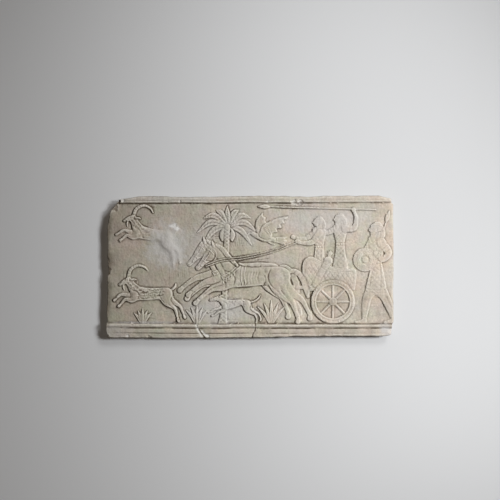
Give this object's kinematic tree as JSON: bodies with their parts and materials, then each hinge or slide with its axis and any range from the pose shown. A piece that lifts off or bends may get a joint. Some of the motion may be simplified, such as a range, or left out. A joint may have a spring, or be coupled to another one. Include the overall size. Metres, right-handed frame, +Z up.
{
  "type": "plaster relief plaque",
  "caption": "Wide plaster wall plaque with a hunting scene in low relief between a narrow top moulding and a deep stepped base moulding, with worn and broken edges.",
  "frame": {"origin": "middle of the flat back, where the plaque meets the wall", "axes": "+X to the viewer's right along the plaque's length, +Y through the back into the wall, +Z up; the carved front faces -Y"},
  "size_m": [1.1995, 0.0536, 0.595],
  "materials": {
    "plaster": "aged matt plaster with brown dirt in the grooves"
  },
  "bodies": {
    "root": {"relief_plaque": "plaster"}
  },
  "joints": []
}
